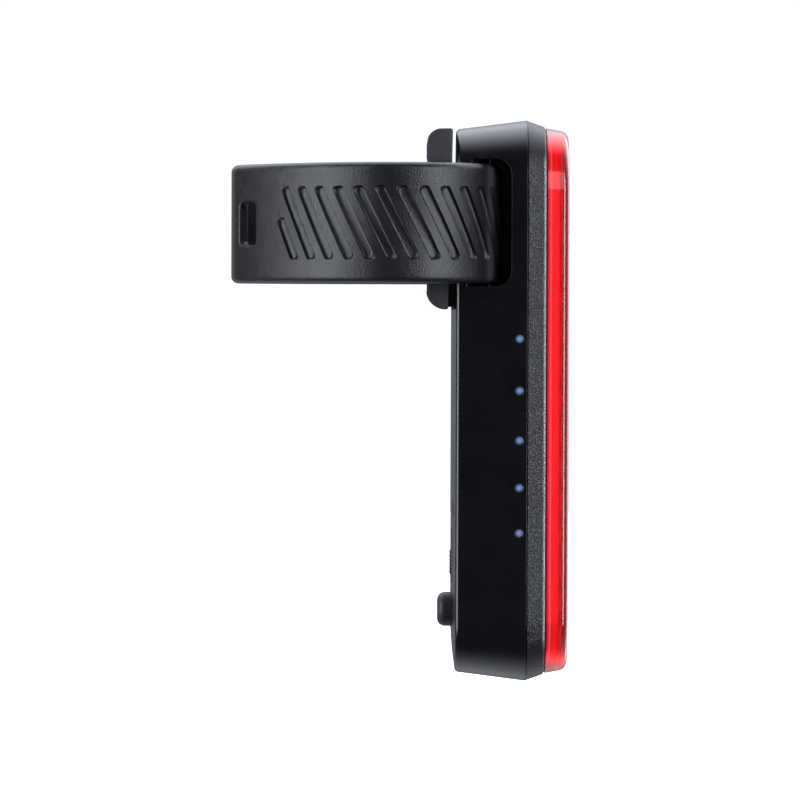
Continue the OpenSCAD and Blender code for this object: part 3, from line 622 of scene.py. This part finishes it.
class StrapPath:
    # outer edge of the strap seen from above, from the root eye round to the tail's tip, in millimetres

    def __init__(self, shape, caseRadius, partX):
        loop = np.array([shape["loopCentre"], 0.0])
        side = loop - (shape["sideRadius"] - shape["loopRadius"]) * facing(shape["turnAngle"])
        leftStart = side + shape["sideRadius"] * facing(shape["sideAngle"])
        leftEnd = facing(shape["leftAngle"])
        room = leftStart[0] + shape["apexDistance"] - shape["apexRadius"] * (1 + leftEnd[0])
        leftRadius = room / (facing(shape["sideAngle"])[0] - leftEnd[0])
        left = leftStart - leftRadius * facing(shape["sideAngle"])
        apex = left + (leftRadius - shape["apexRadius"]) * leftEnd
        slope = math.radians(shape["tailSlope"])
        far = math.radians(shape["farAngle"])
        tipX = partX - shape["tailShort"]
        tipY = caseRadius + shape["caseGap"] + shape["thickness"] / math.cos(slope)
        rise = tipY + math.tan(slope) * (tipX - apex[0] + shape["apexRadius"] * math.sin(far))
        share = math.cos(slope) - math.cos(far) + math.tan(slope) * (math.sin(far) + math.sin(slope))
        farRadius = (rise - apex[1] - shape["apexRadius"] * math.cos(far)) / share
        farCentre = apex - (farRadius - shape["apexRadius"]) * facing(shape["farAngle"])
        rootAngle = 270 + math.degrees(shape["eyeRadius"] / shape["loopRadius"])
        # each arc has its centre, its radius and the angles it faces at its two ends
        self.arcs = [
            (loop, shape["loopRadius"], rootAngle, shape["turnAngle"]),
            (side, shape["sideRadius"], shape["turnAngle"], shape["sideAngle"]),
            (left, leftRadius, shape["sideAngle"], shape["leftAngle"]),
            (apex, shape["apexRadius"], shape["leftAngle"], shape["farAngle"]),
            (farCentre, farRadius, shape["farAngle"], -shape["tailSlope"]),
        ]
        self.starts = [0.0]
        for centre, radius, first, last in self.arcs:
            self.starts.append(self.starts[-1] + radius * math.radians(first - last))
        self.middle = shape["thickness"] / 2
        self.tailAngle = -shape["tailSlope"]
        self.tailPoint = farCentre + farRadius * facing(self.tailAngle)
        middleX = (self.tailPoint - self.middle * facing(self.tailAngle))[0]
        self.length = self.starts[-1] + (tipX - middleX) / math.cos(slope)
        hookX = shape["backX"] + shape["hookInset"] - shape["hookPlay"] + shape["slotLength"] / 2
        self.hookRun = (hookX - middleX) / math.cos(slope)
        self.apexPoint = apex + shape["apexRadius"] * facing(90.0)

    def at(self, place):
        # point and facing angle at each distance along the outer edge
        run = place - self.starts[-1]
        point = self.tailPoint + run[..., None] * along(self.tailAngle)
        angle = np.full(place.shape, self.tailAngle)
        for (centre, radius, first, last), start, stop in zip(self.arcs, self.starts, self.starts[1:]):
            inside = (place >= start) & (place < stop)
            turn = first - np.degrees((place[inside] - start) / radius)
            point[inside] = centre + radius * facing(turn)
            angle[inside] = turn
        return point, angle

    def placeOfTurn(self, degrees):
        # distance along the near turn at a facing angle
        centre, radius, first, last = self.arcs[0]
        return radius * math.radians(first - degrees)

    def placeFromTail(self, run):
        # run is measured along the middle of the band from the start of the tail, towards the far left end
        if run <= 0:
            return self.starts[-1] - run
        for index in (4, 3):
            radius = self.arcs[index][1]
            shrink = (radius - self.middle) / radius
            arcRun = (self.starts[index + 1] - self.starts[index]) * shrink
            if run <= arcRun:
                return self.starts[index + 1] - run / shrink
            run -= arcRun
        return self.starts[3] - run


def roundIn(edge, radius):
    # how far a surface sinks close to its rounded edge
    near = np.clip(radius - edge, 0, radius)
    return radius - np.sqrt(np.maximum(radius * radius - near * near, 0))


def slotDistance(place, height, centre, shape):
    # distance from a slot's rounded outline, less than 0 inside it
    corner = shape["slotCorner"]
    gapAlong = np.abs(place - centre) - (shape["slotLength"] / 2 - corner)
    gapUp = np.abs(height) - (shape["slotHeight"] / 2 - corner)
    outside = np.hypot(np.maximum(gapAlong, 0), np.maximum(gapUp, 0))
    return outside + np.minimum(np.maximum(gapAlong, gapUp), 0) - corner


def grooveCentres(path, shape):
    # the short groove comes first, at the left end of the row
    middle = path.placeOfTurn(shape["grooveMiddle"])
    return [middle + (shape["grooveBefore"] - index) * shape["groovePitch"]
            for index in range(shape["grooveCount"] + 1)]


def grooveSizes(shape):
    # lean as a slope, half the straight run, top of the short groove's straight run
    lean = math.tan(math.radians(shape["grooveLean"]))
    reach = (shape["grooveHeight"] - shape["grooveWidth"]) / 2
    return lean, reach, -reach + 2 * reach * shape["shortShare"]


def grooveDepth(place, height, path, shape):
    lean, reach, shortTop = grooveSizes(shape)
    depth = np.zeros_like(place)
    for index, centre in enumerate(grooveCentres(path, shape)):
        top = shortTop if index == 0 else reach
        start = np.array([centre - reach * lean, -reach])
        stop = np.array([centre + top * lean, top])
        run = stop - start
        share = ((place - start[0]) * run[0] + (height - start[1]) * run[1]) / (run @ run)
        share = np.clip(share, 0, 1)
        gap = np.hypot(place - start[0] - share * run[0], height - start[1] - share * run[1])
        across = np.clip(gap / (shape["grooveWidth"] / 2), 0, 1)
        depth = np.maximum(depth, shape["grooveDepth"] * np.sqrt(1 - across ** shape["grooveSquare"]))
    return depth


def filled(marks, start, stop, widest):
    # sorted marks between two ends, with even steps put in where they are too far apart
    marks = sorted(mark for mark in marks if start < mark < stop)
    steps = [start]
    for mark in marks + [stop]:
        if mark - steps[-1] < strapMesh["closest"]:
            continue
        count = int(math.ceil((mark - steps[-1]) / widest))
        steps += list(np.linspace(steps[-1], mark, count + 1)[1:])
    steps[-1] = stop
    return np.array(steps)


def quarterEase(size, count):
    # steps from 0 to size that start close together, as a quarter circle needs
    return size * (1 - np.cos(np.linspace(0, math.pi / 2, count)))


def strapGrid(path, shape, slots):
    # grid lines lie close together at groove walls, slots and rounded edges, and lean with the grooves
    half, soft = shape["height"] / 2, shape["edgeRound"]
    ease = quarterEase(soft, strapMesh["edgeSteps"])
    groove = shape["grooveWidth"] / 2
    lean, reach, shortTop = grooveSizes(shape)
    grooves = grooveCentres(path, shape)
    wall = groove / math.cos(math.radians(shape["grooveLean"])) * np.array(strapMesh["wallShares"])
    lines = [centre + side * step for centre in grooves for side in (-1, 1) for step in wall]
    slotReach, slotStep = strapMesh["slotReach"], strapMesh["slotStep"]
    for centre in slots:
        lines += list(np.arange(-slotReach, slotReach + 0.01, slotStep) + centre)
    first = quarterEase(shape["eyeRadius"], strapMesh["eyeSteps"])
    body = filled(lines, first[-1], path.length - soft, strapMesh["stepAlong"])
    lines = np.concatenate([first[:-1], body, (path.length - ease[:-1])[::-1]])

    ends = groove * np.array(strapMesh["endShares"])
    rows = [side * (reach + step) for side in (-1, 1) for step in ends]
    rows += list(shortTop + ends)
    rows += [side * (shape["slotHeight"] / 2 - step) for side in (-1, 1) for step in strapMesh["slotRows"]]
    body = filled(rows, -half + soft, half - soft, strapMesh["stepUp"])
    rows = np.concatenate([-half + ease[:-1], body, (half - ease[:-1])[::-1]])

    place, height = np.meshgrid(lines, rows, indexing="ij")
    (inStart, inRun), (outEnd, outRun) = strapMesh["leanIn"], strapMesh["leanOut"]
    leanIn = np.clip((place - inStart) / inRun, 0, 1)
    leanOut = np.clip((max(grooves) + outEnd - place) / outRun, 0, 1)
    place = place + lean * leanIn * leanOut * np.clip(height, -reach - groove, reach + groove)
    return place, height


def openSlots(place, height, slots, shape):
    # cells inside a slot go, and the points round them move on to the slot's outline
    midPlace = (place[:-1, :-1] + place[1:, 1:]) / 2
    midHeight = (height[:-1, :-1] + height[1:, 1:]) / 2
    keep = np.ones(midPlace.shape, bool)
    for centre in slots:
        keep &= slotDistance(midPlace, midHeight, centre, shape) > 0
    kept = np.zeros(place.shape, int)
    gone = np.zeros(place.shape, int)
    for i in (0, 1):
        for j in (0, 1):
            view = (slice(i, i + keep.shape[0]), slice(j, j + keep.shape[1]))
            kept[view] += keep
            gone[view] += ~keep
    rim = (kept > 0) & (gone > 0)
    step = 1e-4
    for centre in slots:
        close = rim & (np.abs(place - centre) < shape["slotLength"])
        distance = slotDistance(place[close], height[close], centre, shape)
        slopeAlong = (slotDistance(place[close] + step, height[close], centre, shape) - distance) / step
        slopeUp = (slotDistance(place[close], height[close] + step, centre, shape) - distance) / step
        size = np.maximum(np.hypot(slopeAlong, slopeUp), 1e-6)
        place[close] -= distance * slopeAlong / size
        height[close] -= distance * slopeUp / size
    return keep


def strapFaces(keep):
    # outer skin, inner skin, and the walls that join them round the border and the slots
    number = np.arange((keep.shape[0] + 1) * (keep.shape[1] + 1)).reshape(keep.shape[0] + 1, -1)
    count = number.size
    faces = []
    for i, j in zip(*np.nonzero(keep)):
        a, b, c, d = number[i, j], number[i + 1, j], number[i + 1, j + 1], number[i, j + 1]
        faces.append((a, b, c, d))
        faces.append((a + count, d + count, c + count, b + count))
    border = np.pad(keep, 1)
    ends = np.nonzero(border[1:, 1:-1] != border[:-1, 1:-1])
    sides = np.nonzero(border[1:-1, 1:] != border[1:-1, :-1])
    walls = [(number[i, j], number[i, j + 1]) for i, j in zip(*ends)]
    walls += [(number[i, j], number[i + 1, j]) for i, j in zip(*sides)]
    faces += [(a, b, b + count, a + count) for a, b in walls]
    return [tuple(int(corner) for corner in face) for face in faces]


def buildStrap(shape):
    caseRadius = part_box("front_bezel")[1].y / mm
    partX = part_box("case_gasket")[0].x / mm
    path = StrapPath(shape, caseRadius, partX)
    slots = [path.placeFromTail(index * shape["slotPitch"] - path.hookRun)
             for index in range(shape["slotCount"])]
    place, height = strapGrid(path, shape, slots)
    keep = openSlots(place, height, slots, shape)
    point, angle = path.at(place)
    out = facing(angle)

    # rounded corners at the tip and at the root
    half, tip, root = shape["height"] / 2, shape["tipRound"], shape["rootRound"]
    tipGap = np.clip(tip - (path.length - place), 0, tip)
    local = half - (tip - np.sqrt(tip ** 2 - tipGap ** 2))
    rootX = shape["loopCentre"] + shape["loopRadius"] - root
    rootGap = np.clip(np.where(place < shape["rootRun"], point[..., 0] - rootX, 0), 0, root * 0.999)
    local = local - (root - np.sqrt(root ** 2 - rootGap ** 2))
    height = height * local / half
    edge = np.minimum(local - np.abs(height), path.length - place)

    outer = roundIn(edge, shape["edgeRound"]) + grooveDepth(place, height, path, shape)
    inner = shape["thickness"] - roundIn(edge, shape["innerRound"])
    for centre in slots:
        lip = roundIn(np.maximum(slotDistance(place, height, centre, shape), 0), shape["slotRim"])
        outer = outer + lip
        inner = inner - lip

    # eye round the pin at the root
    eye = shape["eyeRadius"]
    fromPin = place - eye
    bow = np.sqrt(np.maximum(eye * eye - fromPin ** 2, 0))
    outer = np.where(fromPin < 0, np.maximum(outer, eye - bow), outer)
    inner = np.where(np.abs(fromPin) < eye, np.maximum(np.where(fromPin < 0, 0, inner), eye + bow), inner)

    def lift(depth):
        flat = point - depth[..., None] * out
        return np.stack([flat[..., 0], flat[..., 1], height], axis=-1).reshape(-1, 3) * mm

    corners = np.vstack([lift(outer), lift(inner)])
    strap = addPiece("siliconeStrap", corners, strapFaces(keep), shape["sharpAngle"])
    return strap, path


def strapFinish():
    # painted light: a little paler where it turns into the pocket, lifting the shade that the pocket's walls
    # cast
    finish = mouldedFinish("charcoalSilicone", strapLook)
    tree = finish.node_tree
    shader = tree.nodes["Principled BSDF"]
    start, stop = (reach * mm for reach in strapLook["rootX"])
    paintedLightNearRoot = fadeBetween(tree, ownPlace(tree)["X"], start, stop, 0.0, 1.0)
    body = shader.inputs["Base Color"].links[0].from_socket
    tree.links.new(mixTints(tree, paintedLightNearRoot, body, strapLook["rootPaintedLight"]), shader.inputs["Base Color"])
    return finish


strap, strapPath = buildStrap(strapShape)
strap.data.materials.append(strapFinish())
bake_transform(strap)
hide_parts("strap_band", "strap_tail")
print("strap wrapped:", len(strap.data.polygons), "faces")


# floor, light and camera

stageLook = dict(floorDrop=60.0, floorSize=4.0, paper=(0.9, 0.9, 0.9), rough=0.9, glow=0.9)
cameraLook = dict(aim=(7.6, 0.0, -26.33), distance=700.0, height=13.1, frameWidth=120.0, sensor=36.0,
                  roll=0.2, clip=(0.01, 20.0))
lightLook = [
    dict(name="leftSoftbox", turn=-68.0, away=0.6, lift=0.05, size=(0.34, 0.8), power=7.0),
    dict(name="rightSoftbox", turn=47.0, away=0.6, lift=0.08, size=(0.3, 0.7), power=5.6),
    dict(name="highSoftbox", turn=27.0, away=0.5, lift=0.2, size=(0.2, 0.26), power=0.3),
    dict(name="rimSoftbox", turn=128.0, away=0.6, lift=0.05, size=(0.4, 0.8), power=3.0),
]
studioTint = (0.88, 0.92, 1.0)
worldLook = dict(seen=1.2, front=0.03, frontLow=0.3, horizonLow=-0.06, horizonHigh=0.07,
                 back=3.7, frontEdge=-0.35, backEdge=0.45, farEdge=0.66, farEnd=1.0, farShare=0.25,
                 below=0.28, lowEdge=-0.1, topEdge=0.6, leftEdge=-0.85, leftEnd=-0.3, leftShare=0.1)


def buildFloor():
    low = cadBox[0].z - stageLook["floorDrop"] * mm
    half = stageLook["floorSize"] / 2
    corners = [(-half, -half, low), (half, -half, low), (half, half, low), (-half, half, low)]
    mesh = bpy.data.meshes.new("paleFloor")
    mesh.from_pydata(corners, [], [(0, 1, 2, 3)])
    floor = bpy.data.objects.new("paleFloor", mesh)
    bpy.context.scene.collection.objects.link(floor)
    finish, tree, shader = startFinish("palePaper")
    shader.inputs["Base Color"].default_value = (*stageLook["paper"], 1)
    shader.inputs["Roughness"].default_value = stageLook["rough"]
    shader.inputs["Emission Color"].default_value = (1, 1, 1, 1)
    shader.inputs["Emission Strength"].default_value = stageLook["glow"]
    floor.data.materials.append(finish)
    floor.visible_glossy = False
    floor.visible_diffuse = False
    floor.visible_transmission = False


def buildLights():
    target = Vector(cameraLook["aim"]) * mm
    for look in lightLook:
        lamp = bpy.data.lights.new(look["name"], "AREA")
        lamp.shape = "RECTANGLE"
        lamp.size, lamp.size_y = look["size"]
        lamp.energy = look["power"]
        lamp.color = studioTint
        holder = bpy.data.objects.new(look["name"], lamp)
        turn = math.radians(look["turn"])
        holder.location = target + look["away"] * Vector((math.sin(turn), -math.cos(turn), 0))
        holder.location.z += look["lift"]
        holder.rotation_euler = (target - holder.location).to_track_quat("-Z", "Y").to_euler()
        bpy.context.scene.collection.objects.link(holder)


def buildWorld():
    look = worldLook
    world = bpy.data.worlds.new("paleStudio")
    world.use_nodes = True
    tree = world.node_tree
    background = tree.nodes["Background"]
    place = tree.nodes.new("ShaderNodeTexCoord")
    split = tree.nodes.new("ShaderNodeSeparateXYZ")
    tree.links.new(place.outputs["Generated"], split.inputs["Vector"])
    x, y, z = split.outputs
    # dark in front but for the ground, brightest overhead behind, dimmer below and on the left
    glow = fadeBetween(tree, y, look["frontEdge"], look["backEdge"], look["front"], look["back"])
    ground = fadeBetween(tree, z, look["horizonLow"], look["horizonHigh"], look["frontLow"], look["front"])
    tree.links.new(ground, glow.node.inputs["To Min"])
    backdrop = fadeBetween(tree, y, look["farEdge"], look["farEnd"], 1.0, look["farShare"])
    rise = fadeBetween(tree, z, look["lowEdge"], look["topEdge"], look["below"], 1.0)
    left = fadeBetween(tree, x, look["leftEdge"], look["leftEnd"], look["leftShare"], 1.0)
    for share in (backdrop, rise, left):
        glow = reckon(tree, "MULTIPLY", glow, share)
    # the camera itself sees plain white
    rays = tree.nodes.new("ShaderNodeLightPath")
    level = fadeBetween(tree, rays.outputs["Is Camera Ray"], 0.0, 1.0, 0.0, look["seen"], "LINEAR")
    tree.links.new(glow, level.node.inputs["To Min"])
    background.inputs["Color"].default_value = (*studioTint, 1)
    tree.links.new(level, background.inputs["Strength"])
    bpy.context.scene.world = world


def buildCamera():
    aim = Vector(cameraLook["aim"]) * mm
    place = aim + Vector((0, -cameraLook["distance"], cameraLook["height"])) * mm
    lens = bpy.data.cameras.new("sideCamera")
    lens.sensor_width = cameraLook["sensor"]
    lens.lens = cameraLook["sensor"] * (aim - place).length / (cameraLook["frameWidth"] * mm)
    lens.clip_start, lens.clip_end = cameraLook["clip"]
    camera = bpy.data.objects.new("sideCamera", lens)
    camera.location = place
    look = (aim - place).to_track_quat("-Z", "Y").to_matrix()
    camera.rotation_euler = (look @ Euler((0, 0, math.radians(cameraLook["roll"]))).to_matrix()).to_euler()
    bpy.context.scene.collection.objects.link(camera)
    bpy.context.scene.camera = camera


buildFloor()
buildLights()
buildWorld()
buildCamera()
bpy.context.scene.view_settings.view_transform = "Standard"
print("studio set")
